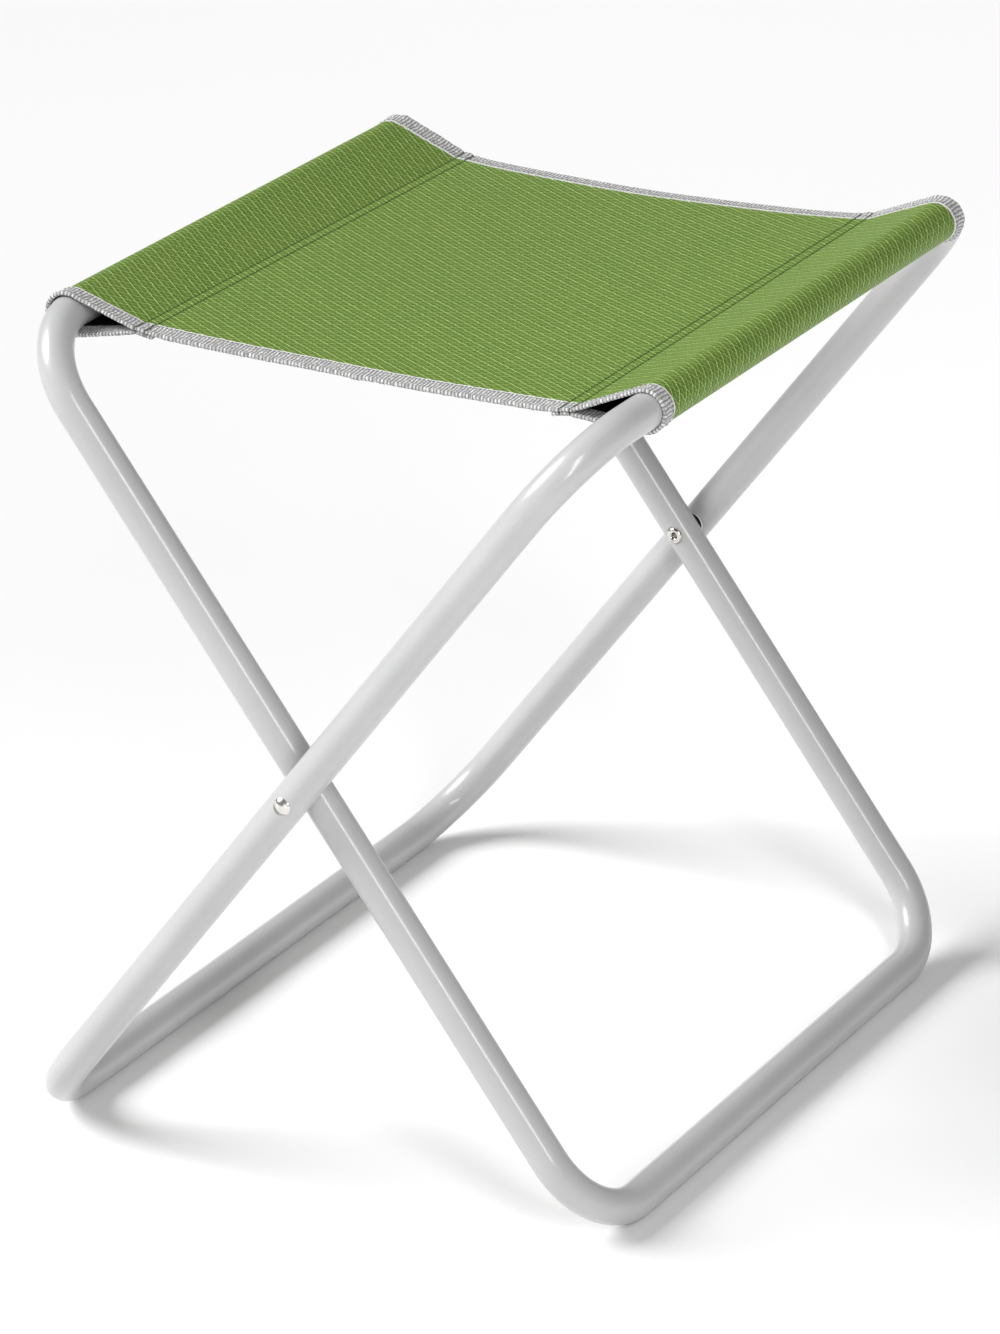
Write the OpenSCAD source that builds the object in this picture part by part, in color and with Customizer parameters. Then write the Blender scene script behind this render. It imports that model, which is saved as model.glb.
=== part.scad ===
// Folding camp stool: two looped tube frames crossed on two rivets, with a sewn cloth seat.
// Y runs along the seat rails, X from the left rail to the right rail, Z up.
// The origin is on the floor, midway between the rails and midway along them.
// All lengths are in millimetres and all angles in degrees.

/* [Frame] */
// outside diameter of the frame tube
tube_d = 19; // [18:0.5:20]
// wall thickness of the frame tube
tube_wall = 1.2; // [1:0.1:1.5]
// distance between the axes of the two seat rails
rail_spacing = 324; // [300:2:350]
// length of a leg, from the axis of its seat rail to the axis of its floor rail
leg_length = 535; // [500:5:570]
// width of the wide frame, between the axes of its legs
outer_frame_w = 437; // [425:1:450]
// radius of the wide frame's bends, at the tube axis
outer_bend_r = 48; // [44:1:50]
// radius of the narrow frame's bends, at the tube axis
inner_bend_r = 44; // [42:1:46]

/* [Pivots] */
// shank diameter of the pivot rivets
rivet_d = 6; // [5:0.5:6]
// diameter of the domed rivet head
rivet_head_d = 9.3; // [9:0.1:10]
// diameter of the spacer washer between the two frames
spacer_d = 14; // [12:0.5:16]
// thickness of the spacer washer
spacer_t = 1.5; // [1:0.25:2]

/* [Seat] */
// length of the seat cloth along the rails, over its bound edges
seat_w = 334; // [326:1:336]
// how far the cloth sits toward the far end of the left rail
left_shift = 3; // [0:1:4]
// how far the cloth sits toward the far end of the right rail
right_shift = 18; // [10:1:18]
// thickness of the seat cloth
cloth_t = 0.6; // [0.5:0.1:0.8]
// thickness of one layer of the edge binding
tape_t = 0.5; // [0.4:0.1:0.6]
// width of the binding on each face of the cloth
tape_w = 10.5; // [9.5:0.5:13]
// distance from a rail's axis to the first stitch line, where its sleeve is closed
sleeve_reach = 40; // [38:1:44]
// distance between the two stitch lines of a sleeve seam
seam_gap = 6; // [5:0.5:7]
// how far the first stitch lines hang below the rail axes
seam_sag = 4; // [3:0.5:5]
// how far the middle of the seat hangs below the rail axes
seat_sag = 8; // [6.5:0.5:9]

/* [Hidden] */
$fn = 64;

// small clearances
turning_gap = 0.05;     // each side of a part that turns against another
loose_gap = 0.3;        // between cloth and frame, and between the two seat halves
joint_gap = 0.4;        // between the two butted ends of a bent tube

// frame
tube_r = tube_d / 2;
bore_d = tube_d - 2 * tube_wall;
half_leg = leg_length / 2;
lean = asin(rail_spacing / leg_length);
inner_frame_w = outer_frame_w - 2 * (tube_d + spacer_t + 2 * turning_gap);
pivot_z = tube_r + half_leg * cos(lean);
rail_x = rail_spacing / 2;
rail_z = tube_r + leg_length * cos(lean);
joiner_len = 70;
joiner_wall = 1.5;
joiner_fit = 0.1;       // how much smaller than the bore the joiner is

// pivots, all measured along the pivot axis from the middle of the stool
outer_leg_y = outer_frame_w / 2;
inner_leg_y = inner_frame_w / 2;
head_dimple = 1;        // depth of the flat pressed in the tube under the rivet head
roll_dimple = 0.6;      // depth of the flat pressed in the tube under the rolled end
dimple_d = rivet_head_d + 1;
head_h = 2.2;
roll_r = 1.5;           // radius of the curl at the rolled end
roll_hole_d = 3.4;
roll_hole_depth = 5;
head_seat_y = outer_leg_y + tube_r - head_dimple;
roll_seat_y = inner_leg_y - tube_r + roll_dimple;

// seat, as seen from the near end with the rail axes level
wedge_in = 0.15;        // the sleeve's flat sides meet its round this far inside the tangent
cloth_in_r = tube_r + loose_gap + wedge_in + tape_t;
seam_tilt = asin(seam_sag / sleeve_reach);
seam_allowance = 4;     // the lower layer runs this far past the second stitch line
seam_web = 5;           // the sleeve's hollow stops this far short of the first stitch line
seam_reach = sleeve_reach + seam_gap + seam_allowance;
seam_overlap = 1;       // the panel is joined to the seam over this length
thread_w = 0.5;
thread_t = 0.3;
binding_stitch_in = 2.5; // the binding's stitch line is this far inside its inner edge
left_straight = inner_frame_w / 2 - inner_bend_r;
right_straight = outer_frame_w / 2 - outer_bend_r;
shift_slope = (right_shift - left_shift) / rail_spacing;
middle_shift = (right_shift + left_shift) / 2;
mouth_over = 1;         // the flared mouth is made this much too long and then trimmed
far = 800;              // a length that is larger than the stool

paint = [0.80, 0.80, 0.79];
nickel = [0.72, 0.71, 0.68];
zinc = [0.55, 0.56, 0.58];
dark_steel = [0.16, 0.16, 0.17];
green = [0.36, 0.52, 0.20];
grey = [0.62, 0.61, 0.63];
dark_green = [0.14, 0.24, 0.08];
dark_grey = [0.20, 0.20, 0.21];

// ---- frame ----

// A quarter bend of round bar that joins a leg to a rail, in the plane x = 0,
// with the leg end on the +Y side and the rail end at the top.
module bend(bend_r, d) {
    rotate([0, 90, 0])
        rotate([0, 0, 90])
            rotate_extrude(angle = 90)
                translate([bend_r, 0])
                    circle(d = d);
}

// A closed loop of round bar in the plane x = 0, centred on the origin.
module loop(w, bend_r, d) {
    leg_straight = leg_length - 2 * bend_r;
    rail_straight = w - 2 * bend_r;
    for (side = [0, 1])
        mirror([0, side, 0]) {
            translate([0, w / 2, -leg_straight / 2])
                cylinder(h = leg_straight, d = d);
            for (end = [0, 1])
                mirror([0, 0, end])
                    translate([0, w / 2 - bend_r, half_leg - bend_r])
                        bend(bend_r, d);
        }
    for (z = [-half_leg, half_leg])
        translate([0, rail_straight / 2, z])
            rotate([90, 0, 0])
                cylinder(h = rail_straight, d = d);
}

// The wall that a disc pressed flat into a leg leaves behind it, at depth inside the tube's
// surface. dir is 1 for the side of the leg away from the middle of the loop.
module pressed_pad(leg_y, dir, depth) {
    intersection() {
        translate([0, leg_y, -dimple_d])
            cylinder(h = 2 * dimple_d, d = tube_d);
        translate([0, leg_y + dir * (tube_r - depth - tube_wall), 0])
            rotate([-90 * dir, 0, 0])
                cylinder(h = 2 * tube_wall + depth, d = dimple_d + 2 * tube_wall);
    }
}

module pressed_cut(leg_y, dir, depth) {
    translate([0, leg_y + dir * (tube_r - depth), 0])
        rotate([-90 * dir, 0, 0])
            cylinder(h = 2 * depth, d = dimple_d);
}

// The bent tube of one frame, upright in the plane x = 0.
module bent_tube(w, bend_r, pressed_dir, depth) {
    leg_y = w / 2;
    difference() {
        union() {
            difference() {
                loop(w, bend_r, tube_d);
                loop(w, bend_r, bore_d);
            }
            for (side = [-1, 1])
                pressed_pad(side * leg_y, side * pressed_dir, depth);
        }
        for (side = [-1, 1])
            pressed_cut(side * leg_y, side * pressed_dir, depth);
        for (side = [-1, 1])
            translate([0, side * leg_y + tube_d, 0])
                rotate([90, 0, 0])
                    cylinder(h = 2 * tube_d, d = rivet_d + 2 * turning_gap);
        translate([-tube_d, -joint_gap / 2, half_leg - tube_d])
            cube([2 * tube_d, joint_gap, 2 * tube_d]);
    }
}

module on_outer_frame() {
    translate([0, 0, pivot_z])
        rotate([0, lean, 0])
            children();
}

module on_inner_frame() {
    translate([0, 0, pivot_z])
        rotate([0, -lean, 0])
            children();
}

module rail_joiner() {
    translate([0, joiner_len / 2, half_leg])
        rotate([90, 0, 0])
            difference() {
                cylinder(h = joiner_len, d = bore_d - joiner_fit);
                translate([0, 0, -1])
                    cylinder(h = joiner_len + 2, d = bore_d - joiner_fit - 2 * joiner_wall);
            }
}

module outer_frame_tube() {
    color(paint)
        on_outer_frame()
            bent_tube(outer_frame_w, outer_bend_r, 1, head_dimple);
}

module inner_frame_tube() {
    color(paint)
        on_inner_frame()
            bent_tube(inner_frame_w, inner_bend_r, -1, roll_dimple);
}

module outer_rail_joiner() {
    color(zinc)
        on_outer_frame()
            rail_joiner();
}

module inner_rail_joiner() {
    color(zinc)
        on_inner_frame()
            rail_joiner();
}

// ---- pivots ----

// A semi-tubular rivet along +Y: rolled end toward the middle, domed head outside.
module pivot_rivet() {
    dome_r = (pow(rivet_head_d / 2, 2) + head_h * head_h) / (2 * head_h);
    difference() {
        union() {
            translate([0, roll_seat_y - roll_r / 2, 0])
                rotate([-90, 0, 0])
                    cylinder(h = head_seat_y - roll_seat_y + roll_r / 2, d = rivet_d);
            translate([0, roll_seat_y, 0])
                rotate([90, 0, 0])
                    intersection() {
                        rotate_extrude()
                            translate([rivet_d / 2, 0])
                                circle(r = roll_r);
                        cylinder(h = 2 * roll_r, d = 2 * rivet_d);
                    }
            translate([0, head_seat_y, 0])
                rotate([-90, 0, 0])
                    intersection() {
                        translate([0, 0, head_h - dome_r])
                            sphere(r = dome_r);
                        cylinder(h = 2 * head_h, d = rivet_head_d);
                    }
        }
        translate([0, roll_seat_y + roll_hole_depth, 0])
            rotate([90, 0, 0])
                cylinder(h = 2 * roll_hole_depth, d = roll_hole_d);
    }
}

module pivot_spacer() {
    translate([0, outer_leg_y - tube_r - turning_gap, 0])
        rotate([90, 0, 0])
            difference() {
                cylinder(h = spacer_t, d = spacer_d);
                translate([0, 0, -1])
                    cylinder(h = spacer_t + 2, d = rivet_d + 2 * turning_gap);
            }
}

module near_pivot_rivet() {
    color(nickel)
        translate([0, 0, pivot_z])
            mirror([0, 1, 0])
                pivot_rivet();
}

module far_pivot_rivet() {
    color(nickel)
        translate([0, 0, pivot_z])
            pivot_rivet();
}

module near_pivot_spacer() {
    color(dark_steel)
        translate([0, 0, pivot_z])
            mirror([0, 1, 0])
                pivot_spacer();
}

module far_pivot_spacer() {
    color(dark_steel)
        translate([0, 0, pivot_z])
            pivot_spacer();
}

// ---- seat ----

// Distance from a rail's axis to the inside of its bend, at a point this far past the straight.
function bend_reach(bend_r, past) =
    bend_r - sqrt(pow(bend_r - tube_r, 2) - pow(max(past, 0), 2));

// Half length of cloth from the middle of the rail to its edge, at one end (-1 near, 1 far).
function edge_y(shift, end) = end * seat_w / 2 + shift;

// Radius that the cloth opens to at the mouth of a sleeve.
function mouth_r(bend_r, straight, shift, end) =
    max(cloth_in_r,
        bend_reach(bend_r, end * edge_y(shift, end) - straight) + loose_gap + tape_t);

// A round drawn out to a point that lies at distance tip from its middle, toward the seam.
module teardrop(r, tip) {
    side_r = r - wedge_in;
    at = acos(side_r / tip);
    x = side_r * cos(at);
    y = side_r * sin(at);
    circle(r = r);
    rotate(-seam_tilt)
        polygon([[x, y], [tip, 0], [x, -y], [0, 0]]);
}

// The cross-section of half a seat with its rail at the left, seen from the near end, grown
// on both faces by extra. It is a sleeve round the rail, then the panel out to the middle.
module seat_profile_outer(extra) {
    half = cloth_t / 2 + extra;
    panel_from = seam_reach - seam_overlap;
    panel_x = -rail_x + panel_from * cos(seam_tilt);
    panel_z = rail_z - panel_from * sin(seam_tilt);
    translate([-rail_x, rail_z]) {
        teardrop(cloth_in_r + cloth_t + extra, sleeve_reach);
        rotate(-seam_tilt)
            translate([sleeve_reach - seam_web, -half - cloth_t])
                square([seam_reach - sleeve_reach + seam_web, 2 * half + cloth_t]);
    }
    polygon([
        [panel_x, panel_z - half],
        [-loose_gap / 2, rail_z - seat_sag - half],
        [-loose_gap / 2, rail_z - seat_sag + half],
        [panel_x, panel_z + half]
    ]);
}

// The hollow of the sleeve, shrunk by extra.
module seat_profile_hollow(extra) {
    translate([-rail_x, rail_z])
        teardrop(cloth_in_r - extra, sleeve_reach - seam_web - extra);
}

module along_rail() {
    translate([0, far, 0])
        rotate([90, 0, 0])
            linear_extrude(height = 2 * far)
                children();
}

// A flared mouth, as a solid of revolution on the rail's axis, where the cloth passes the bend.
module flare(straight, edge, end, rail_r, open_r) {
    past = end * edge - straight;
    if (past > 0) {
        long = past + mouth_over;
        translate([-rail_x, end * straight, rail_z])
            rotate([-90 * end, 0, 0])
                cylinder(h = long, r1 = rail_r, r2 = rail_r + (open_r - rail_r) * long / past);
    }
}

// Half the seat with its sleeve filled, grown on its outer face by extra.
module seat_body(bend_r, straight, shift, extra) {
    wall = cloth_t + extra;
    along_rail()
        seat_profile_outer(extra);
    for (end = [-1, 1])
        flare(straight, edge_y(shift, end), end, cloth_in_r + wall,
            mouth_r(bend_r, straight, shift, end) + wall);
}

// The hollow of that half's sleeve, shrunk by extra.
module seat_hollow(bend_r, straight, shift, extra) {
    along_rail()
        seat_profile_hollow(extra);
    for (end = [-1, 1])
        flare(straight, edge_y(shift, end), end, cloth_in_r - extra,
            mouth_r(bend_r, straight, shift, end) - extra);
}

module left_body(extra) {
    seat_body(inner_bend_r, left_straight, left_shift, extra);
}

module right_body(extra) {
    mirror([1, 0, 0])
        seat_body(outer_bend_r, right_straight, right_shift, extra);
}

module left_half(extra) {
    difference() {
        left_body(extra);
        seat_hollow(inner_bend_r, left_straight, left_shift, extra);
    }
}

module right_half(extra) {
    difference() {
        right_body(extra);
        mirror([1, 0, 0])
            seat_hollow(outer_bend_r, right_straight, right_shift, extra);
    }
}

// A band across the seat between two distances from the cloth's middle line, following the
// skew of the cloth on the rails.
module band(from_y, to_y) {
    slope_y = far * shift_slope;
    linear_extrude(height = 2 * far)
        polygon([
            [-far, from_y + middle_shift - slope_y],
            [far, from_y + middle_shift + slope_y],
            [far, to_y + middle_shift + slope_y],
            [-far, to_y + middle_shift - slope_y]
        ]);
}

// The binding covers both faces of the cloth and wraps over the cut edge.
module binding_band(end) {
    outer_edge = seat_w / 2;
    inner_edge = outer_edge - tape_w;
    if (end > 0)
        band(inner_edge, outer_edge);
    else
        band(-outer_edge, -inner_edge);
}

module cloth_band() {
    band(tape_t - seat_w / 2, seat_w / 2 - tape_t);
}

module stitch_band(end) {
    at = end * (seat_w / 2 - tape_w + binding_stitch_in);
    band(at - thread_w / 2, at + thread_w / 2);
}

// Two stitch lines along a sleeve seam, on the upper and the lower face.
module sleeve_seam_lines() {
    upper = cloth_t / 2;
    lower = -cloth_t * 1.5 - thread_t;
    along_rail()
        translate([-rail_x, rail_z])
            rotate(-seam_tilt)
                for (x = [0, seam_gap], y = [upper, lower])
                    translate([sleeve_reach + x, y])
                        square([thread_w, thread_t]);
}

// The part of a seam between the two bindings.
module seam_thread_band() {
    inner_edge = seat_w / 2 - tape_w;
    intersection() {
        children();
        band(-inner_edge, inner_edge);
    }
}

module seat_cloth_left() {
    color(green)
        intersection() {
            left_half(0);
            cloth_band();
        }
}

module seat_cloth_right() {
    color(green)
        intersection() {
            right_half(0);
            cloth_band();
        }
}

module left_binding(end) {
    color(grey)
        difference() {
            intersection() {
                left_half(tape_t);
                binding_band(end);
            }
            intersection() {
                left_half(0);
                cloth_band();
            }
        }
}

module right_binding(end) {
    color(grey)
        difference() {
            intersection() {
                right_half(tape_t);
                binding_band(end);
            }
            intersection() {
                right_half(0);
                cloth_band();
            }
        }
}

module near_binding_left() {
    left_binding(-1);
}

module far_binding_left() {
    left_binding(1);
}

module near_binding_right() {
    right_binding(-1);
}

module far_binding_right() {
    right_binding(1);
}

// The line of stitches along a binding, standing up on the outer face of the tape.
module left_binding_thread(end) {
    color(dark_grey)
        intersection() {
            difference() {
                left_body(tape_t + thread_t);
                left_body(tape_t);
            }
            stitch_band(end);
        }
}

module right_binding_thread(end) {
    color(dark_grey)
        intersection() {
            difference() {
                right_body(tape_t + thread_t);
                right_body(tape_t);
            }
            stitch_band(end);
        }
}

module near_binding_thread_left() {
    left_binding_thread(-1);
}

module far_binding_thread_left() {
    left_binding_thread(1);
}

module near_binding_thread_right() {
    right_binding_thread(-1);
}

module far_binding_thread_right() {
    right_binding_thread(1);
}

module sleeve_seam_thread_left() {
    color(dark_green)
        seam_thread_band()
            sleeve_seam_lines();
}

module sleeve_seam_thread_right() {
    color(dark_green)
        seam_thread_band()
            mirror([1, 0, 0])
                sleeve_seam_lines();
}

outer_frame_tube();
outer_rail_joiner();
near_pivot_rivet();
far_pivot_rivet();
near_pivot_spacer();
far_pivot_spacer();
inner_frame_tube();
inner_rail_joiner();
seat_cloth_right();
near_binding_right();
far_binding_right();
sleeve_seam_thread_right();
near_binding_thread_right();
far_binding_thread_right();
seat_cloth_left();
near_binding_left();
far_binding_left();
sleeve_seam_thread_left();
near_binding_thread_left();
far_binding_thread_left();
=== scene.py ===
"""The look of a folding camp stool: sewn cloth seat, paint, rivets and a plain studio."""
import math

import bpy
import numpy as np
from mathutils import Matrix, Vector


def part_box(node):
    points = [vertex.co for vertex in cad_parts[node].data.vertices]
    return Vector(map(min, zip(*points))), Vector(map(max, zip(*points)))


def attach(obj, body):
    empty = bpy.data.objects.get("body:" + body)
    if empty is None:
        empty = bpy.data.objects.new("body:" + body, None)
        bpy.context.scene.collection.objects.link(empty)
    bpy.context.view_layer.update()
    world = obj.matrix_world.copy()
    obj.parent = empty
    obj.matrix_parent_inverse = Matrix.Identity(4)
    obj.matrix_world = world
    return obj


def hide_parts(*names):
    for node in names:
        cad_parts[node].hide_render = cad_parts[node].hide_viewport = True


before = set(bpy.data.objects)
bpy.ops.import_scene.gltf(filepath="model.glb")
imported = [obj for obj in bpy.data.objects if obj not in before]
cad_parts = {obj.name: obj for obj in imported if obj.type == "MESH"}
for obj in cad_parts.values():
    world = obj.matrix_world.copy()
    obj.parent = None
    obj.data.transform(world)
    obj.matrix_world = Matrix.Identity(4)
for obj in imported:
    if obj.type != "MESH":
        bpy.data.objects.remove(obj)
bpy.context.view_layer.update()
rng = np.random.default_rng(7)

# Lengths are in millimetres until a mesh is made, and named angles are in degrees.
MM = 0.001

# ---- driving sizes ----

# frame
TUBE_R = 9.5
OUTER_BEND_R = 48.0
INNER_BEND_R = 44.0
LEFT_STRAIGHT = 153.9        # half length of the straight part of the left rail
RIGHT_STRAIGHT = 170.5

# cloth
CLOTH_T = 0.5
TAPE_T = 0.45
SEAT_HALF_W = 167.0          # half length of the bound cloth along the rails
LEFT_SHIFT = 3.0             # how far the cloth sits toward the far end on each rail
RIGHT_SHIFT = 18.0
TAPE_W = 10.5                # width of the binding on one face
TAPE_FOLD_LEN = 1.0          # what its fold adds to twice that
TAPE_RIB_PITCH = 2.0
TAPE_STEP = 0.8              # mesh length along the tape
FOLD_PUFF = 1.1              # the tape's folded edge stands off the cloth by this share more
FOLD_PUFF_W = 4.5            # over this width
JOIN_AT = 2.0                # the near tape's ends overlap here, from the middle of the seat
JOIN_W = 4.0
JOIN_SWELL = 1.0
INNER_WANDER = 0.22          # the tape's inner edge wanders by this much
INNER_FRAY = 0.16            # and jumps by this much from step to step
OUTER_WANDER = 0.12
OUTER_FRAY = 0.13
TAPE_ROUGH = 0.16            # the tape's fold is thicker by up to this share, unevenly
TAPE_GAP = 0.02              # between the tape and the cloth
TAPE_FREE_FADE = 8.0         # under the panel the tape's fold takes this long to round out
SEAM_PINCH = 0.35            # a seam's stitches press the tape flatter by this share
SEAM_PINCH_W = 1.0
CLOTH_R = 10.45              # middle of the cloth where it lies round the rail
LEG_ANGLE_OPEN = 233.0       # way to the leg, seen from the sleeve, with the stool open
LEG_ANGLE_FOLDED = 185.0     # and folded flat; 0 is outward and 90 is up
SEAM_REACH = 40.0            # first stitch line of the sleeve, from the rail's axis
SEAM_GAP = 6.0               # between the two stitch lines of a sleeve seam
SEAM_ALLOWANCE = 4.0         # the lower layer runs this far past the second line
STACK_DROP = 1.5             # the lower layer lies this far under the panel
SEAT_SAG = 3.6               # middle of the seat below the line between the seams
LEFT_SEAM_DROP = (2.0, 5.0)  # first stitch line below the rail axis, at the near and far edge
RIGHT_SEAM_DROP = (6.0, 4.2)
EDGE_BOW = 4.0               # a free edge is pulled in by this much at the middle of the seat
EDGE_DROOP = 1.4             # and its bound rim hangs down by this much
DROOP_W = 17.0               # over this width
DROOP_FADE = 12.0            # and less within this distance of a seam
SLACK_H = 0.22               # shallow waves of the panel
SLACK_FADE = 25.0            # which die out within this distance of a seam
PUCKER_H = 0.20              # ripples beside a seam
PUCKER_W = 5.0
PANEL_PUCKER_AT = 4.0        # from a stitch line to the ripples' highest point
FLAP_PUCKER_AT = 7.0
STITCH_DIP = 0.22            # a line of stitches sinks by this much
STITCH_DIP_W = 0.9
FINE_RIPPLE = 0.62           # radians of a ripple per millimetre of seam
FINE_RIPPLE_DRIFT = 0.071    # and of the slow change in its spacing
COARSE_RIPPLE = 0.37
COARSE_RIPPLE_DRIFT = 0.113

# thread
BINDING_STITCH_IN = 1.7      # from the inner edge of the tape to its stitch line
THREAD_END_IN = 1.0          # from the end of the cloth to the last stitch of the tape
LAYER_MARGIN = 2.0           # and from a layer that covers the tape to its last stitch below
STITCH_PITCH = 2.6
STITCH_LEN = 1.7
SEAM_STITCH_PITCH = 2.8
SEAM_STITCH_LEN = 2.65
SEAM_STITCH_IN = 0.8         # from the edge of the cloth to the end of a seam's stitches
THREAD_R = 0.33
TAPE_THREAD_LIFT = 0.08      # middle of the thread over the face of the tape
SEAM_THREAD_LIFT = 0.06      # and over the face of the cloth
STITCH_LEN_SPREAD = 0.08     # stitches differ in length by this share
STITCH_TURN_SPREAD = 0.05    # and in direction by this slope

# meshes
CLOTH_COLUMNS = 186
TAPE_FACE_POINTS = 13
TAPE_FOLD_POINTS = 11
SHARP_ANGLE = 50.0

rail_low, rail_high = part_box("outer_rail_joiner")
RAIL_X = (rail_low.x + rail_high.x) / 2 / MM
RAIL_Z = (rail_low.z + rail_high.z) / 2 / MM
LEFT, RIGHT = -1, 1
NEAR, FAR = -1, 1
STITCH_A = RAIL_X - SEAM_REACH          # first stitch line from the middle of the seat
SHIFT_SLOPE = (RIGHT_SHIFT - LEFT_SHIFT) / (2 * RAIL_X)
MIDDLE_SHIFT = (RIGHT_SHIFT + LEFT_SHIFT) / 2
FLAP_LEN = math.sqrt(SEAM_REACH ** 2 - CLOTH_R ** 2)
WRAP_LEN = CLOTH_R * (2 * math.pi - 2 * math.acos(CLOTH_R / SEAM_REACH))
UNDER_LEN = SEAM_GAP + SEAM_ALLOWANCE
OFF_FOLD = 0.2                          # from a fold to the stitches that hold it
# distance along the cloth, from the middle of the seat, where each part of a half ends
PANEL_END = STITCH_A
UPPER_END = PANEL_END + FLAP_LEN
WRAP_END = UPPER_END + WRAP_LEN
LOWER_END = WRAP_END + FLAP_LEN
CLOTH_END = LOWER_END + UNDER_LEN
# the stitch lines on the panel and on the lower layer
SEAM_LINES = (PANEL_END - OFF_FOLD, PANEL_END - SEAM_GAP, LOWER_END + OFF_FOLD, LOWER_END + SEAM_GAP)


# ---- shape of the cloth ----

def smooth(x):
    x = np.clip(x, 0.0, 1.0)
    return x * x * (3 - 2 * x)


def seam_height(side, q):
    near, far = LEFT_SEAM_DROP if side == LEFT else RIGHT_SEAM_DROP
    along = (q / SEAT_HALF_W + 1) / 2
    return -(near + (far - near) * along)


def bump(x, centre, width):
    return np.exp(-((x - centre) / width) ** 2)


def ripple(q, side):
    """Uneven small waves along a seam, between -1 and 1, not the same on both sides."""
    fine = np.sin(q * FINE_RIPPLE + side * 1.3 + 1.1 * np.sin(q * FINE_RIPPLE_DRIFT + side))
    coarse = np.sin(q * COARSE_RIPPLE + 2.1 + 0.8 * np.sin(q * COARSE_RIPPLE_DRIFT))
    return 0.6 * fine + 0.4 * coarse


def panel_height(side, a, q):
    """Height of the panel over the rail axes, at distance a from the middle of the seat."""
    x = side * a
    share = (x + STITCH_A) / (2 * STITCH_A)
    line = seam_height(LEFT, q) * (1 - share) + seam_height(RIGHT, q) * share
    z = line - SEAT_SAG * (1 - (x / STITCH_A) ** 2)
    rim = np.clip((np.abs(q) - (SEAT_HALF_W - DROOP_W)) / DROOP_W, 0, 1)
    z = z - EDGE_DROOP * rim ** 2 * smooth((STITCH_A - a) / DROOP_FADE)
    slack = SLACK_H * np.sin(x * 0.045 + q * 0.021) * np.sin(q * 0.033 - x * 0.017 + 0.7)
    z = z + slack * smooth((STITCH_A - a) / SLACK_FADE)
    z = z + PUCKER_H * ripple(q, side) * bump(a, STITCH_A - SEAM_GAP - PANEL_PUCKER_AT, PUCKER_W)
    for line_a in (STITCH_A, STITCH_A - SEAM_GAP):
        z = z - STITCH_DIP * bump(a, line_a, STITCH_DIP_W)
    return z


def bend_push(side, y):
    """How far the tube's underside has moved toward its leg, past the straight part of a rail."""
    straight = LEFT_STRAIGHT if side == LEFT else RIGHT_STRAIGHT
    bend_r = INNER_BEND_R if side == LEFT else OUTER_BEND_R
    inside = bend_r - TUBE_R
    past = np.clip(np.abs(y) - straight, 0, inside - 1)
    return inside - np.sqrt(inside ** 2 - past ** 2)


def seat_point(side, s, q):
    """The middle of the cloth: s along it from the middle of the seat and q across it."""
    s, q = np.broadcast_arrays(np.asarray(s, float), np.asarray(q, float))
    y_rail = q + (LEFT_SHIFT if side == LEFT else RIGHT_SHIFT)
    push = bend_push(side, y_rail)
    h_up = panel_height(side, np.full_like(q, STITCH_A), q)
    h_low = h_up - STACK_DROP

    def radius(angle):
        # the cloth makes room for the bent tube, which turns inside the sleeve as the stool folds
        turn = np.mod(angle, 2 * math.pi)
        nearest = np.clip(turn, math.radians(LEG_ANGLE_FOLDED), math.radians(LEG_ANGLE_OPEN))
        return CLOTH_R + push * np.maximum(0, np.cos(turn - nearest))

    def leaving(height, way):
        """Radius and angle where a flap stitched at this height leaves the round of the rail.

        The radius depends on the angle, so the two are found together in a few rounds.
        """
        r = np.full_like(q, CLOTH_R)
        for _ in range(4):
            wide = np.arccos(r / np.hypot(SEAM_REACH, height))
            angle = way * (math.pi - wide) - np.arctan2(height, SEAM_REACH)
            r = radius(angle)
        return r, angle

    up_r, up_angle = leaving(h_up, 1)
    low_r, low_angle = leaving(h_low, -1)

    t_up = np.clip((s - PANEL_END) / FLAP_LEN, 0, 1)
    t_wrap = np.clip((s - UPPER_END) / WRAP_LEN, 0, 1)
    t_low = np.clip((s - WRAP_END) / FLAP_LEN, 0, 1)
    t_under = np.clip((s - LOWER_END) / UNDER_LEN, 0, 1)

    angle = up_angle + (low_angle - up_angle) * t_wrap
    r = radius(angle)
    round_a = RAIL_X + r * np.cos(angle)
    round_z = r * np.sin(angle)
    up_a = STITCH_A + (RAIL_X + up_r * np.cos(up_angle) - STITCH_A) * t_up
    up_z = h_up + (up_r * np.sin(up_angle) - h_up) * t_up
    up_z = up_z + PUCKER_H * ripple(q, side) * bump(s, PANEL_END + FLAP_PUCKER_AT, PUCKER_W)
    low_from_a = RAIL_X + low_r * np.cos(low_angle)
    low_from_z = low_r * np.sin(low_angle)
    low_a = low_from_a + (STITCH_A - low_from_a) * t_low
    low_z = low_from_z + (h_low - low_from_z) * t_low
    under_a = STITCH_A - UNDER_LEN * t_under
    under_z = panel_height(side, under_a, q) - STACK_DROP

    zones = [s <= PANEL_END, s <= UPPER_END, s <= WRAP_END, s <= LOWER_END]
    a = np.select(zones, [s, up_a, round_a, low_a], under_a)
    z = np.select(zones, [panel_height(side, s, q), up_z, round_z, low_z], under_z)
    x = side * a
    pull = EDGE_BOW * np.clip(1 - (a / STITCH_A) ** 2, 0, 1) * (q / SEAT_HALF_W)
    y = MIDDLE_SHIFT + SHIFT_SLOPE * x + q - pull
    return np.stack([x, y, RAIL_Z + z], -1)


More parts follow.
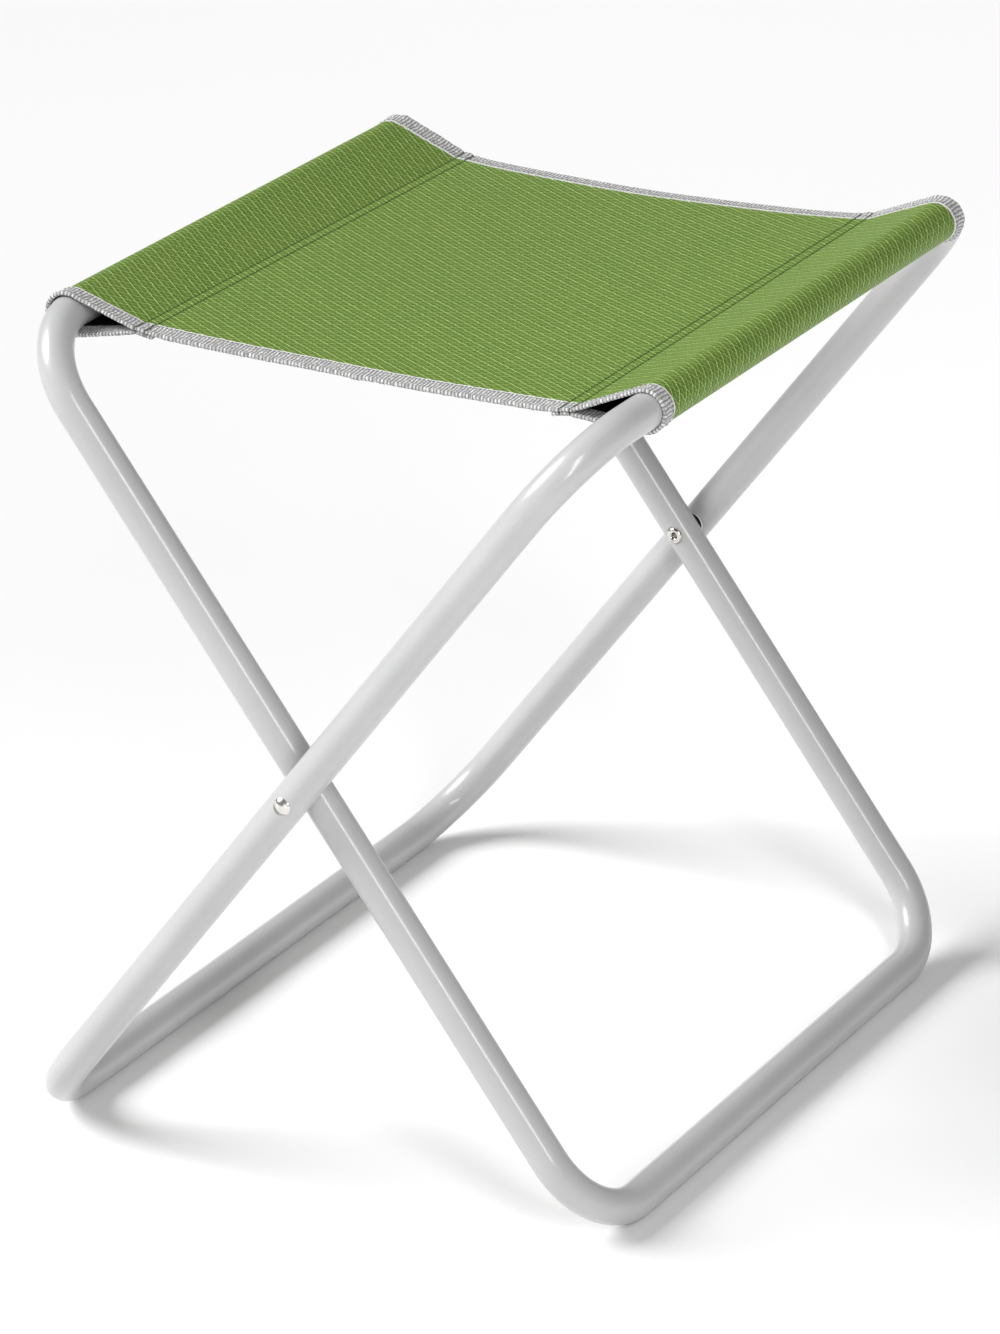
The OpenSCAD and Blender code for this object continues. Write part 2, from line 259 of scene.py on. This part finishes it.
def cloth_frame(side, s, q):
    """Point, outward normal, and the directions along and across the cloth."""
    step = 0.15
    s = np.clip(s, step, CLOTH_END - step)
    p = seat_point(side, s, q)
    along = seat_point(side, s + step, q) - seat_point(side, s - step, q)
    across = seat_point(side, s, q + step) - seat_point(side, s, q - step)
    along /= np.linalg.norm(along, axis=-1, keepdims=True)
    across /= np.linalg.norm(across, axis=-1, keepdims=True)
    normal = np.cross(along, across) * side
    normal /= np.linalg.norm(normal, axis=-1, keepdims=True)
    return p, normal, along, across


def soft_normal(side, s, q):
    """The normal averaged over a short run of cloth, so that layers turn corners smoothly."""
    total = 0
    for step in (-1.2, -0.6, 0.0, 0.6, 1.2):
        total = total + cloth_frame(side, np.maximum(s + step, 0.0), q)[1]
    return total / np.linalg.norm(total, axis=-1, keepdims=True)


def profile_steps():
    """Distances along a half of the cloth, closer together where it turns."""
    corner_from, corner_to = PANEL_END - 11.4, PANEL_END + 3
    parts = [
        np.linspace(0, corner_from - 0.6, 42),
        np.linspace(corner_from, corner_to, 25),
        np.linspace(corner_to + 1, UPPER_END, 16),
        np.linspace(UPPER_END, WRAP_END, 27)[1:],
        np.linspace(WRAP_END, LOWER_END, 15)[1:],
        np.linspace(LOWER_END, CLOTH_END, 7)[1:],
    ]
    return np.concatenate(parts)


# ---- meshes ----

def make_mesh(name, points, faces, uvs=None, slots=None):
    """A mesh object from points in millimetres. uvs are per point and slots per face."""
    mesh = bpy.data.meshes.new(name)
    mesh.from_pydata([tuple(p) for p in np.asarray(points) * MM], [], faces)
    mesh.polygons.foreach_set("use_smooth", [True] * len(mesh.polygons))
    if slots is not None:
        mesh.polygons.foreach_set("material_index", slots)
    if uvs is not None:
        corners = np.zeros(len(mesh.loops), int)
        mesh.loops.foreach_get("vertex_index", corners)
        layer = mesh.uv_layers.new(name="cloth_mm")
        layer.data.foreach_set("uv", np.asarray(uvs)[corners].reshape(-1))
    mesh.set_sharp_from_angle(angle=math.radians(SHARP_ANGLE))
    obj = bpy.data.objects.new(name, mesh)
    bpy.context.scene.collection.objects.link(obj)
    return obj


def grid_faces(rows, cols, first, flip):
    faces = []
    for i in range(rows - 1):
        for j in range(cols - 1):
            a = first + i * cols + j
            quad = (a, a + cols, a + cols + 1, a + 1)
            faces.append(quad[::-1] if flip else quad)
    return faces


def shell(name, top, bottom, uv, flip):
    """A closed thin sheet between two grids of points. Slot 0 is its top, slot 1 the rest."""
    rows, cols = top.shape[:2]
    count = rows * cols
    points = np.concatenate([top.reshape(-1, 3), bottom.reshape(-1, 3)])
    faces = grid_faces(rows, cols, 0, flip)
    slots = [0] * len(faces)
    faces += grid_faces(rows, cols, count, not flip)
    ring = [(i, 0) for i in range(rows)] + [(rows - 1, j) for j in range(1, cols)]
    ring += [(i, cols - 1) for i in range(rows - 2, -1, -1)]
    ring += [(0, j) for j in range(cols - 2, 0, -1)]
    ids = [i * cols + j for i, j in ring]
    for a, b in zip(ids, ids[1:] + ids[:1]):
        quad = (a, a + count, b + count, b)
        faces.append(quad if flip else quad[::-1])
    slots += [1] * (len(faces) - len(slots))
    uvs = np.concatenate([uv.reshape(-1, 2)] * 2)
    return make_mesh(name, points, faces, uvs, slots)


def cloth_half(side, name):
    s = profile_steps()
    edge = SEAT_HALF_W - TAPE_T - CLOTH_T / 2
    q = np.linspace(-edge, edge, CLOTH_COLUMNS)
    s_grid, q_grid = np.meshgrid(s, q, indexing="ij")
    p = seat_point(side, s_grid, q_grid)
    n = soft_normal(side, s_grid, q_grid)
    uv = np.stack([side * s_grid, q_grid], -1)
    half = CLOTH_T / 2
    return shell(name, p + n * half, p - n * half, uv, side == RIGHT)


def tape_section():
    """The tape's width as (distance in from the edge, height over the cloth's middle)."""
    lift = CLOTH_T / 2 + TAPE_T / 2 + TAPE_GAP
    flat = np.linspace(TAPE_W, lift, TAPE_FACE_POINTS)
    turn = np.radians(np.linspace(90, -90, TAPE_FOLD_POINTS))
    top = [(w, lift) for w in flat]
    fold = [(lift - lift * math.cos(t), lift * math.sin(t)) for t in turn[1:-1]]
    bottom = [(w, -lift) for w in flat[::-1]]
    return np.array(top + fold + bottom)


def tape_stand_off(s, w, height):
    """How much further than flat the tape stands off: its fold is round and seams pinch it."""
    free = np.where(height > 0, 1.0, smooth((PANEL_END - UNDER_LEN - s) / TAPE_FREE_FADE))
    puff = 1 + FOLD_PUFF * free * (1 - smooth(w / FOLD_PUFF_W))
    for line in SEAM_LINES:
        puff = puff * (1 - SEAM_PINCH * bump(s, line, SEAM_PINCH_W))
    return puff


def binding(side, end, name):
    """The tape folded over one free edge of half the cloth. end is NEAR or FAR."""
    s = np.linspace(0, CLOTH_END, int(CLOTH_END / TAPE_STEP))
    section = tape_section()
    run = np.concatenate([[0], np.cumsum(np.hypot(*np.diff(section, axis=0).T))])
    s_grid, w = np.meshgrid(s, section[:, 0], indexing="ij")
    height = np.broadcast_to(section[:, 1], s_grid.shape)
    inner = INNER_WANDER * np.sin(s_grid * 0.83 + end) * np.sin(s_grid * 0.31 + side)
    inner = inner + INNER_FRAY * rng.uniform(-1, 1, len(s))[:, None]
    outer = OUTER_FRAY * rng.uniform(-1, 1, len(s))[:, None]
    outer = outer + OUTER_WANDER * np.sin(s_grid * 0.9 + 2 * end + side)
    if end == NEAR:
        outer = outer + JOIN_SWELL * bump(side * s_grid, JOIN_AT, JOIN_W)
    inward = smooth(w / TAPE_W)
    q = end * (SEAT_HALF_W - w + inner * inward + outer * (1 - inward))
    rough = 1 + TAPE_ROUGH * rng.uniform(0, 1, s_grid.shape) * (1 - inward)
    height = height * rough * tape_stand_off(s_grid, w, height)
    n = soft_normal(side, s_grid, q)
    across = cloth_frame(side, s_grid, q)[3] * end
    mid = seat_point(side, s_grid, q) + n * height[..., None]
    # the shell's first side faces up on the upper run and down on the lower one
    slope = np.gradient(section, axis=0)
    slope /= np.hypot(slope[:, 0], slope[:, 1])[:, None]
    face = across * slope[None, :, 1:] - n * slope[None, :, :1]
    half = TAPE_T / 2
    uv = np.stack([side * s_grid, np.broadcast_to(run, s_grid.shape)], -1)
    flip = (side == RIGHT) != (end == FAR)
    return shell(name, mid + face * half, mid - face * half, uv, flip)


def stitch_template():
    """One stitch along X, on the plane z = 0, with both ends drawn down into the cloth.

    blunt keeps the ends from thinning to a point. dive is how far they sink, in thread radii.
    """
    rings, around = 5, 8
    blunt, dive = 0.12, 0.9
    points, faces = [], []
    for i in range(rings):
        t = -1 + 2 * i / (rings - 1)
        r = math.sqrt(max(1 - t ** 4, blunt))
        for k in range(around):
            turn = 2 * math.pi * k / around
            points.append((t / 2, r * math.cos(turn), r * math.sin(turn) - dive * t ** 4))
    for i in range(rings - 1):
        for k in range(around):
            a, b = i * around + k, i * around + (k + 1) % around
            faces.append((a, b, b + around, a + around))
    faces.append(tuple(range(around))[::-1])
    faces.append(tuple(range((rings - 1) * around, rings * around)))
    return np.array(points), faces


def stitches(name, rows):
    """One piece of thread from rows of (points, normals, directions, length)."""
    shape, shape_faces = stitch_template()
    points, faces = [], []
    for centres, normals, directions, length in rows:
        sides = np.cross(normals, directions)
        for c, n, d, side_way in zip(centres, normals, directions, sides):
            base = len(points) * len(shape)
            stretch = 1 + rng.uniform(-STITCH_LEN_SPREAD, STITCH_LEN_SPREAD)
            turn = rng.uniform(-STITCH_TURN_SPREAD, STITCH_TURN_SPREAD)
            d = d + side_way * turn
            made = (c + shape[:, :1] * d * length * stretch
                    + shape[:, 1:2] * side_way * THREAD_R + shape[:, 2:] * n * THREAD_R)
            points.append(made)
            faces += [tuple(base + i for i in f) for f in shape_faces]
    return make_mesh(name, np.concatenate(points), faces)


def even(start, end, pitch):
    count = max(int(abs(end - start) / pitch), 1)
    return start + (end - start) * (np.arange(count) + 0.5) / count


def binding_thread(side, end, name):
    lift = CLOTH_T / 2 + TAPE_T + TAPE_THREAD_LIFT
    q = end * (SEAT_HALF_W - TAPE_W + BINDING_STITCH_IN)
    rows = []
    # the outer face is stitched all along, the inner face only where no layer lies against it
    for way, last in ((1, CLOTH_END - THREAD_END_IN), (-1, PANEL_END - UNDER_LEN - LAYER_MARGIN)):
        s = even(0, last, STITCH_PITCH)
        p, n, along, _ = cloth_frame(side, s, np.full_like(s, q))
        rows.append((p + n * way * lift, n * way, along, STITCH_LEN))
    return stitches(name, rows)


def seam_thread(side, name):
    """Two stitch lines from edge to edge, on the panel's top and under the lower layer."""
    rows = []
    edge = SEAT_HALF_W - SEAM_STITCH_IN
    q = even(-edge, edge, SEAM_STITCH_PITCH)
    on_tape = np.abs(q) > SEAT_HALF_W - TAPE_W
    lift = CLOTH_T / 2 + SEAM_THREAD_LIFT + np.where(on_tape, TAPE_T, 0)[:, None]
    for s_line in SEAM_LINES:
        s = np.full_like(q, s_line)
        p, n, _, across = cloth_frame(side, s, q)
        rows.append((p + n * lift, n, across, SEAM_STITCH_LEN))
    return stitches(name, rows)


# ---- materials ----

class Nodes:
    """A short way to write a shader as nodes and links."""

    def __init__(self, name, metal=0.0):
        self.mat = bpy.data.materials.new(name)
        self.mat.use_nodes = True
        self.tree = self.mat.node_tree
        self.shader = self.tree.nodes["Principled BSDF"]
        self.shader.inputs["Metallic"].default_value = metal

    def add(self, kind, **values):
        node = self.tree.nodes.new(kind)
        for key, value in values.items():
            setattr(node, key, value)
        return node

    def put(self, socket, value):
        if isinstance(value, bpy.types.NodeSocket):
            self.tree.links.new(value, socket)
        else:
            socket.default_value = value

    def math(self, operation, a, b=0.0):
        node = self.add("ShaderNodeMath", operation=operation)
        self.put(node.inputs[0], a)
        self.put(node.inputs[1], b)
        return node.outputs[0]

    def times(self, a, b):
        return self.math("MULTIPLY", a, b)

    def plus(self, a, b):
        return self.math("ADD", a, b)

    def minus(self, a, b):
        return self.math("SUBTRACT", a, b)

    def largest(self, a, b):
        return self.math("MAXIMUM", a, b)

    def wave(self, distance, pitch):
        """A sine wave, from -1 to 1, that repeats every pitch."""
        return self.math("SINE", self.times(distance, 2 * math.pi / pitch))

    def mix(self, share, a, b):
        node = self.add("ShaderNodeMix", data_type="RGBA")
        self.put(node.inputs[0], share)
        self.put(node.inputs[6], a)
        self.put(node.inputs[7], b)
        return node.outputs[2]

    def noise(self, vector, scale, detail=3.0, rough=0.55):
        node = self.add("ShaderNodeTexNoise")
        self.put(node.inputs["Vector"], vector)
        self.put(node.inputs["Scale"], scale)
        self.put(node.inputs["Detail"], detail)
        self.put(node.inputs["Roughness"], rough)
        return node.outputs["Fac"]

    def stretch(self, vector, x, y, z):
        node = self.add("ShaderNodeVectorMath", operation="MULTIPLY")
        self.put(node.inputs[0], vector)
        self.put(node.inputs[1], (x, y, z))
        return node.outputs[0]

    def split(self, vector):
        node = self.add("ShaderNodeSeparateXYZ")
        self.put(node.inputs[0], vector)
        return node.outputs

    def uv(self):
        return self.add("ShaderNodeUVMap", uv_map="cloth_mm").outputs[0]

    def place(self):
        return self.add("ShaderNodeTexCoord").outputs["Object"]

    def bump(self, height, strength, distance, normal=None):
        node = self.add("ShaderNodeBump")
        self.put(node.inputs["Height"], height)
        self.put(node.inputs["Strength"], strength)
        self.put(node.inputs["Distance"], distance)
        if normal is not None:
            self.put(node.inputs["Normal"], normal)
        return node.outputs[0]

    def spread(self, value, low, high, to_low, to_high):
        """Maps low..high to to_low..to_high and holds it there outside that range."""
        node = self.add("ShaderNodeMapRange", clamp=True)
        for socket, v in zip(node.inputs, (value, low, high, to_low, to_high)):
            self.put(socket, v)
        return node.outputs[0]

    def finish(self, color, rough, normal):
        self.put(self.shader.inputs["Base Color"], color)
        self.put(self.shader.inputs["Roughness"], rough)
        self.put(self.shader.inputs["Normal"], normal)
        return self.mat


RIPSTOP_ANGLE = 30.0    # the two families of lines cross at twice this
RIPSTOP_PITCH = 5.8
RIPSTOP_W = 0.74        # width of one raised line
RIPSTOP_SHADE = 0.13    # its shaded foot is this far beside it, as a share of the pitch
SECOND_FAMILY = 0.3     # how far along its pitch the second family starts
FLOAT_PITCH = RIPSTOP_PITCH / 4
YARN_PITCH = 0.5
TAPE_YARN_PITCH = 0.7
THREAD_TWIST = 9000.0   # radians per metre along X


def ripstop_lines(m, u, v, sign, offset):
    """Height of one family of fine raised lines, 0 to 1, with a fainter line between each two."""
    turn = math.radians(RIPSTOP_ANGLE)
    u_part = m.times(u, sign * math.sin(turn) / RIPSTOP_PITCH)
    v_part = m.times(v, math.cos(turn) / RIPSTOP_PITCH)
    phase = m.plus(m.plus(u_part, v_part), offset)
    strong = m.math("PINGPONG", phase, 0.5)
    weak = m.math("PINGPONG", m.plus(phase, 0.5), 0.5)
    width = RIPSTOP_W / RIPSTOP_PITCH / 2
    strong = m.spread(strong, width * 0.3, width * 1.3, 1.0, 0.0)
    weak = m.spread(weak, width * 0.2, width * 1.1, 0.5, 0.0)
    return m.largest(strong, weak)


def floats(m, u, v):
    """The raised yarns dip under the weave at even steps, which breaks the lines into dashes."""
    turn = math.radians(RIPSTOP_ANGLE)
    along = m.minus(m.times(v, math.cos(turn)), m.times(u, math.sin(turn)))
    return m.spread(m.wave(along, FLOAT_PITCH), -0.8, 0.4, 0.50, 1.0)


def seam_grooves(m, u, v):
    """Where the two stitch lines of a sleeve seam pull the cloth down, 0 to 1. It places both the
    groove's bump and the painted shade in the groove.
    """
    away = m.math("ABSOLUTE", u)
    deepest = 0.0
    for line in SEAM_LINES:
        off = m.math("ABSOLUTE", m.minus(away, line))
        deepest = m.largest(m.spread(off, 0.3, 0.95, 1.0, 0.0), deepest)
    tug = m.wave(v, SEAM_STITCH_PITCH)
    return m.times(deepest, m.spread(tug, -1.0, 1.0, 0.72, 1.0))


def green_cloth():
    """Ripstop with uneven dyeing, pale raised lines with painted shade at the base of each, and painted
    shade in the seams' grooves.
    """
    deep, fresh, dry = (0.059, 0.130, 0.009, 1), (0.146, 0.246, 0.032, 1), (0.150, 0.208, 0.027, 1)
    pale, painted_foot_shade, painted_groove_shade = (0.580, 0.770, 0.265, 1), (0.036, 0.086, 0.005, 1), (0.030, 0.075, 0.006, 1)
    m = Nodes("green_ripstop_cloth")
    uv = m.uv()
    wander = m.times(m.minus(m.noise(uv, 0.35, 4.0), 0.5), 1.1)
    flat_u, flat_v, _ = m.split(uv)
    u = m.plus(flat_u, wander)
    v = m.plus(flat_v, wander)
    first = ripstop_lines(m, u, v, 1, 0.0)
    second = m.times(ripstop_lines(m, u, v, -1, SECOND_FAMILY), 0.82)
    broken = m.spread(m.noise(uv, 0.5, 2.0), 0.35, 0.6, 0.6, 1.0)
    broken = m.times(broken, floats(m, u, v))
    lines = m.times(m.largest(first, second), broken)
    weave = m.times(m.wave(u, YARN_PITCH), m.wave(v, YARN_PITCH))
    grain = m.noise(uv, 1.0, 5.0, 0.7)
    cloud = m.noise(uv, 0.035, 3.0)
    color = m.mix(m.spread(grain, 0.36, 0.64, 0.0, 1.0), deep, fresh)
    color = m.mix(m.spread(cloud, 0.35, 0.65, 0.0, 0.35), color, dry)
    # painted shade: a dark band beside each raised line stands for the shade at its base
    painted_foot_shade_mask = m.times(ripstop_lines(m, u, v, -1, SECOND_FAMILY - RIPSTOP_SHADE), 0.85)
    painted_foot_shade_mask = m.largest(ripstop_lines(m, u, v, 1, -RIPSTOP_SHADE), painted_foot_shade_mask)
    color = m.mix(m.times(painted_foot_shade_mask, 0.75), color, painted_foot_shade)
    color = m.mix(m.times(lines, 0.92), color, pale)
    groove = seam_grooves(m, flat_u, flat_v)
    # painted shade in the seam grooves
    color = m.mix(m.times(groove, 0.65), color, painted_groove_shade)
    height = m.plus(m.times(weave, 0.25), lines)
    height = m.plus(height, m.times(grain, 0.8))
    height = m.minus(height, m.times(groove, 1.6))
    normal = m.bump(height, 0.6, 0.00014)
    normal = m.bump(m.noise(uv, 0.12, 3.0), 0.35, 0.0012, normal)
    m.shader.inputs["Sheen Weight"].default_value = 0.05
    m.shader.inputs["Sheen Roughness"].default_value = 0.4
    m.shader.inputs["Sheen Tint"].default_value = (0.75, 0.95, 0.55, 1)
    m.shader.inputs["Specular IOR Level"].default_value = 0.22
    return m.finish(color, m.spread(grain, 0.2, 0.8, 0.46, 0.62), normal)


def dark_backing_with_painted_shade():
    """The coated back of the cloth, with the ripstop lines showing faintly through. Its near black is
    partly the dark coating and partly painted shade inside the sleeves.
    """
    m = Nodes("dark_cloth_backing_painted_shade")
    uv = m.uv()
    u, v, _ = m.split(uv)
    lines = m.largest(ripstop_lines(m, u, v, 1, 0.0), ripstop_lines(m, u, v, -1, SECOND_FAMILY))
    grain = m.noise(uv, 1.2, 5.0)
    # near black: a dark coating, darkened further as painted shade for the insides of the sleeves
    color = m.mix(grain, (0.006, 0.007, 0.006, 1), (0.018, 0.020, 0.017, 1))
    m.shader.inputs["Specular IOR Level"].default_value = 0.18
    normal = m.bump(m.plus(grain, m.times(lines, 0.6)), 0.4, 0.0001)
    return m.finish(color, m.spread(grain, 0.2, 0.8, 0.42, 0.6), normal)


def grosgrain():
    """Ribbed tape: uneven fuzzy ribs across it, with painted shade in the gaps between the ribs and a
    paler woven edge on both sides.
    """
    # dark is the painted shade in the gaps between the ribs, light the ribs' yarn
    dark, light = (0.200, 0.199, 0.200, 1), (0.930, 0.927, 0.920, 1)
    woven_edge, painted_groove_shade = (0.80, 0.80, 0.79, 1), (0.020, 0.028, 0.016, 1)
    full_width = 2 * TAPE_W + TAPE_FOLD_LEN
    m = Nodes("grey_grosgrain_tape")
    uv = m.uv()
    u, v, _ = m.split(uv)
    sway = m.times(m.minus(m.noise(m.stretch(uv, 0.6, 0.25, 1), 1.0), 0.5), 1.5)
    rib = m.spread(m.wave(m.plus(u, sway), TAPE_RIB_PITCH), -1.0, 0.5, 0.0, 1.0)
    yarn = m.spread(m.wave(v, TAPE_YARN_PITCH), -1, 1, 0, 1)
    speckle = m.noise(m.stretch(uv, 1.2, 0.5, 1), 1.3, 4.0, 0.7)
    tuft = m.noise(uv, 0.55, 4.0, 0.8)
    # painted shade: the rib wave, with the fuzz noise, darkens the gaps between the ribs
    shade = m.times(rib, m.spread(speckle, 0.40, 0.60, 0.30, 1.0))
    shade = m.times(shade, m.spread(tuft, 0.38, 0.55, 0.20, 1.0))
    color = m.mix(shade, dark, light)
    from_edge = m.math("MINIMUM", v, m.minus(full_width, v))
    selvedge = m.spread(from_edge, 0.8, 1.2, 1.0, 0.0)
    color = m.mix(m.times(selvedge, 0.8), color, woven_edge)
    # painted shade in the seam grooves across the tape
    color = m.mix(m.times(seam_grooves(m, u, v), 0.85), color, painted_groove_shade)
    height = m.plus(rib, m.times(yarn, 0.3))
    height = m.plus(height, m.times(speckle, 0.5))
    height = m.plus(height, m.times(tuft, 1.2))
    return m.finish(color, 0.8, m.bump(height, 0.7, 0.00024))


def thread_material(name, dark, light):
    m = Nodes(name)
    place = m.place()
    twist = m.math("SINE", m.times(m.split(place)[0], THREAD_TWIST))
    fuzz = m.noise(place, 2500.0, 3.0)
    height = m.plus(fuzz, m.times(twist, 0.2))
    return m.finish(m.mix(fuzz, dark, light), 0.62, m.bump(height, 0.4, 0.00008))


def grey_paint():
    """Light grey powder coat: smooth gloss with a faint orange peel and a few fine marks."""
    dull, clear, mark = (0.452, 0.452, 0.455, 1), (0.486, 0.486, 0.488, 1), (0.66, 0.66, 0.66, 1)
    m = Nodes("light_grey_paint")
    place = m.place()
    peel = m.noise(place, 900.0, 2.0)
    cloud = m.noise(place, 14.0, 3.0)
    fleck = m.noise(place, 3200.0, 2.0, 0.6)
    color = m.mix(m.spread(cloud, 0.3, 0.7, 0.0, 1.0), dull, clear)
    color = m.mix(m.spread(fleck, 0.55, 0.75, 0.0, 0.12), color, mark)
    rough = m.spread(cloud, 0.3, 0.7, 0.32, 0.40)
    m.shader.inputs["Specular IOR Level"].default_value = 0.35
    m.shader.inputs["Coat Weight"].default_value = 0.45
    m.shader.inputs["Coat Roughness"].default_value = 0.14
    return m.finish(color, rough, m.bump(peel, 0.12, 0.00012))


def bright_metal(name, color, rough):
    """Bare metal with a little tarnish and fine drawn lines."""
    tarnished = tuple(c * 0.72 for c in color[:3]) + (1,)
    m = Nodes(name, metal=1.0)
    place = m.place()
    haze = m.noise(place, 260.0, 4.0)
    line = m.noise(m.stretch(place, 1.0, 0.1, 1.0), 2200.0, 4.0, 0.7)
    tone = m.mix(m.spread(haze, 0.3, 0.7, 0.0, 0.5), color, tarnished)
    worn = m.plus(rough, m.spread(line, 0.4, 0.8, 0.0, 0.16))
    return m.finish(tone, worn, m.bump(line, 0.08, 0.00005))


def washer_with_painted_shade():
    """A plain washer: its faces, which point along Y, are near black as painted shade from the gap beside
    the tubes, and its rim is pale.
    """
    m = Nodes("washer_painted_shade_faces")
    direction = m.split(m.add("ShaderNodeTexCoord").outputs["Normal"])
    rim = m.spread(m.math("ABSOLUTE", direction[1]), 0.35, 0.6, 1.0, 0.0)
    wear = m.noise(m.place(), 420.0, 4.0)
    # painted shade: the faces are near black for the dark gap between the washer and the tubes
    face = m.mix(wear, (0.010, 0.010, 0.011, 1), (0.030, 0.030, 0.032, 1))
    edge = m.mix(wear, (0.560, 0.560, 0.565, 1), (0.690, 0.690, 0.690, 1))
    rough = m.spread(wear, 0.3, 0.7, 0.34, 0.5)
    return m.finish(m.mix(rim, face, edge), rough, m.bump(wear, 0.1, 0.00006))


def studio_floor():
    m = Nodes("pale_floor")
    place = m.place()
    color = m.mix(m.noise(place, 1.5, 3.0), (0.91, 0.91, 0.91, 1), (0.94, 0.94, 0.94, 1))
    return m.finish(color, 0.65, m.bump(m.noise(place, 400.0), 0.05, 0.0002))


# ---- the pieces ----

def dress(obj, *materials):
    """Replaces an object's materials. Clearing a new mesh would reset which face uses which."""
    if len(obj.data.materials):
        obj.data.materials.clear()
    for material in materials:
        obj.data.materials.append(material)


def build_half(side, word, body, looks):
    """The sewn half of the seat that goes with one rail."""
    cloth = cloth_half(side, f"cloth_half_{word}")
    dress(cloth, looks["cloth"], looks["backing"])
    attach(cloth, body)
    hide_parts(f"seat_cloth_{word}")
    trims = []
    for end, where in ((NEAR, "near"), (FAR, "far")):
        tape = binding(side, end, f"{where}_tape_{word}")
        dress(tape, looks["tape"], looks["tape"])
        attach(tape, body)
        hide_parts(f"{where}_binding_{word}")
        row = binding_thread(side, end, f"{where}_tape_stitches_{word}")
        dress(row, looks["grey_thread"])
        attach(row, body)
        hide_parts(f"{where}_binding_thread_{word}")
        trims += [tape, row]
    seam = seam_thread(side, f"sleeve_stitches_{word}")
    dress(seam, looks["green_thread"])
    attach(seam, body)
    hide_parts(f"sleeve_seam_thread_{word}")
    trims.append(seam)


def build_seat():
    dark_green, bright_green = (0.026, 0.058, 0.010, 1), (0.062, 0.118, 0.024, 1)
    dark_grey, bright_grey = (0.110, 0.110, 0.112, 1), (0.240, 0.240, 0.242, 1)
    looks = {
        "cloth": green_cloth(),
        "backing": dark_backing_with_painted_shade(),
        "tape": grosgrain(),
        "green_thread": thread_material("green_thread", dark_green, bright_green),
        "grey_thread": thread_material("grey_thread", dark_grey, bright_grey),
    }
    build_half(LEFT, "left", "seat_left", looks)
    build_half(RIGHT, "right", "seat_right", looks)


def dress_frame():
    paint = grey_paint()
    nickel = bright_metal("polished_nickel", (0.78, 0.76, 0.72, 1), 0.16)
    zinc = bright_metal("dull_zinc", (0.55, 0.56, 0.58, 1), 0.38)
    washer = washer_with_painted_shade()
    finishes = {
        "outer_frame_tube": paint, "inner_frame_tube": paint,
        "outer_rail_joiner": zinc, "inner_rail_joiner": zinc,
        "near_pivot_rivet": nickel, "far_pivot_rivet": nickel,
        "near_pivot_spacer": washer, "far_pivot_spacer": washer,
    }
    for name, material in finishes.items():
        dress(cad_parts[name], material)


# ---- studio, in metres ----

CAMERA_AT = Vector((1.42372, -2.49808, 1.43261))
CAMERA_TURN = 29.752
CAMERA_DOWN = 22.978
CAMERA_ROLL = -0.425
LENS_MM = 159.195
SENSOR_MM = 36.0
FLOOR_HALF = 30.0
FLOOR_DROP = 0.0002     # keeps the floor from sharing a plane with anything that stands on it


def add_camera():
    data = bpy.data.cameras.new("camera")
    data.sensor_width = SENSOR_MM
    data.lens = LENS_MM
    data.clip_start, data.clip_end = 0.05, 60.0
    camera = bpy.data.objects.new("camera", data)
    bpy.context.scene.collection.objects.link(camera)
    turn, down, roll = (math.radians(v) for v in (CAMERA_TURN, CAMERA_DOWN, CAMERA_ROLL))
    forward = Vector((-math.sin(turn) * math.cos(down), math.cos(turn) * math.cos(down), -math.sin(down)))
    right = Vector((math.cos(turn), math.sin(turn), 0))
    up = right.cross(forward)
    side = right * math.cos(roll) + up * math.sin(roll)
    top = up * math.cos(roll) - right * math.sin(roll)
    facing = Matrix((side, top, -forward)).transposed()
    camera.matrix_world = Matrix.Translation(CAMERA_AT) @ facing.to_4x4()
    bpy.context.scene.camera = camera


def add_softbox(name, at, target, width, height, watts):
    data = bpy.data.lights.new(name, "AREA")
    data.shape = "RECTANGLE"
    data.size, data.size_y = width, height
    data.energy = watts
    lamp = bpy.data.objects.new(name, data)
    bpy.context.scene.collection.objects.link(lamp)
    lamp.location = at
    lamp.rotation_mode = "QUATERNION"
    lamp.rotation_quaternion = (Vector(target) - Vector(at)).to_track_quat("-Z", "Y")


def add_key(turn, height, strength, spread):
    """A wide soft light from the left. turn is its direction round Z and height its elevation."""
    data = bpy.data.lights.new("key", "SUN")
    data.energy = strength
    data.angle = math.radians(spread)
    lamp = bpy.data.objects.new("key", data)
    bpy.context.scene.collection.objects.link(lamp)
    turn, height = math.radians(turn), math.radians(height)
    level = Vector((math.cos(turn), math.sin(turn), 0)) * math.cos(height)
    toward = level + Vector((0, 0, math.sin(height)))
    lamp.rotation_mode = "QUATERNION"
    lamp.rotation_quaternion = (-toward).to_track_quat("-Z", "Y")


def add_floor():
    half = FLOOR_HALF
    corners = [(-half, -half, 0), (half, -half, 0), (half, half, 0), (-half, half, 0)]
    mesh = bpy.data.meshes.new("floor")
    mesh.from_pydata(corners, [], [(0, 1, 2, 3)])
    floor = bpy.data.objects.new("floor", mesh)
    bpy.context.scene.collection.objects.link(floor)
    floor.location.z = -FLOOR_DROP
    dress(floor, studio_floor())


def add_world():
    world = bpy.data.worlds.new("studio")
    world.use_nodes = True
    background = world.node_tree.nodes["Background"]
    background.inputs["Color"].default_value = (1.0, 1.0, 1.0, 1)
    background.inputs["Strength"].default_value = 0.27
    bpy.context.scene.world = world


def add_studio():
    add_floor()
    add_world()
    add_camera()
    middle = (0, 0, 0.25)
    add_key(turn=203, height=40, strength=3.7, spread=35)
    add_softbox("strip", at=(1.61, -1.45, 1.50), target=middle, width=0.34, height=1.5, watts=26)
    add_softbox("fill", at=(1.0, -2.7, 0.6), target=middle, width=1.6, height=1.2, watts=5)
    bpy.context.scene.view_settings.view_transform = "Standard"


build_seat()
dress_frame()
add_studio()
